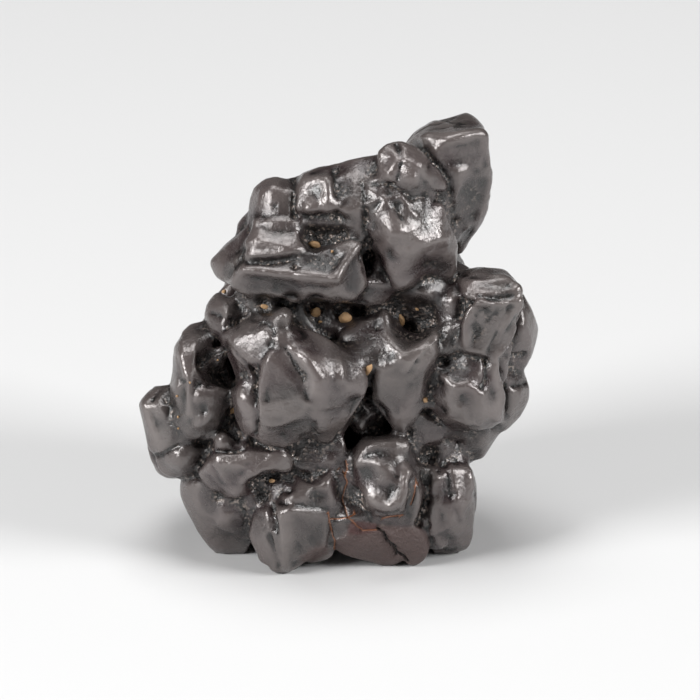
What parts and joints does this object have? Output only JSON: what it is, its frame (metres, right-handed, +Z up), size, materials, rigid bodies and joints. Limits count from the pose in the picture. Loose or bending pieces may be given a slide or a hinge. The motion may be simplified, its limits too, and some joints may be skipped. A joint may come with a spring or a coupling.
{
  "type": "prophecy stone",
  "caption": "Hand-sized natural cluster of dark brown iron oxide crystals, worn by sand into rounded, faceted lumps with deep hollows, standing on small flat feet.",
  "frame": {"origin": "middle of the stone's box, on the ground that it stands on", "axes": "+Z up, -Y towards the viewer of the picture, +X to that viewer's right"},
  "size_m": [0.0566, 0.0446, 0.0635],
  "materials": {
    "limonite": "dull waxy polish from blown sand, dusty and sparkly in the hollows, a few rusty cracks low on the front"
  },
  "bodies": {
    "root": {"stone": "limonite"}
  },
  "joints": []
}
